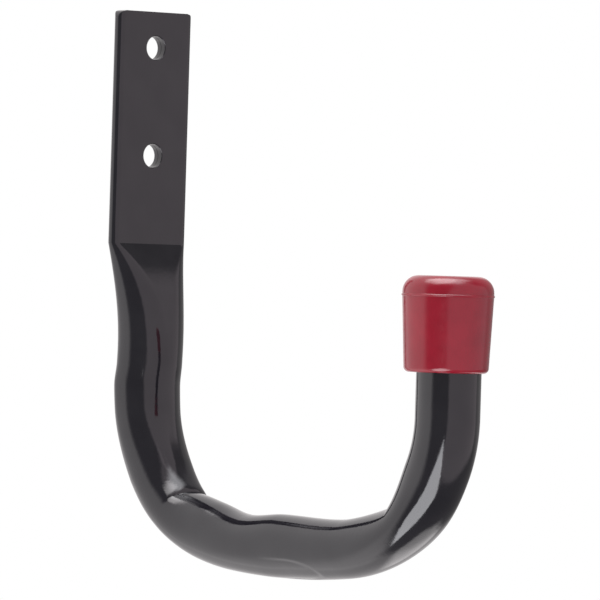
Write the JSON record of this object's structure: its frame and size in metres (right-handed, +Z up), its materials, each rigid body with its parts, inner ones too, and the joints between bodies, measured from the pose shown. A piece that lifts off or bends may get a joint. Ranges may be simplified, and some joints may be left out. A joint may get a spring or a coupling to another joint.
{
  "type": "garage utility hook",
  "caption": "Wall hook of bent steel tube, its end pressed flat as a screw plate, with a wrinkled J bend and a soft red cap on the upright tip.",
  "frame": {"origin": "middle of the two screw holes, on the back of the plate, in the plane of the wall", "axes": "+X out from the wall towards the tip, +Z up, Y along the wall"},
  "size_m": [0.1548, 0.0288, 0.1697],
  "materials": {
    "black_paint": "gloss black paint on steel",
    "red_plastic": "satin red soft plastic"
  },
  "bodies": {
    "root": {"hook_tube": "black_paint", "end_cap": "red_plastic"}
  },
  "joints": []
}
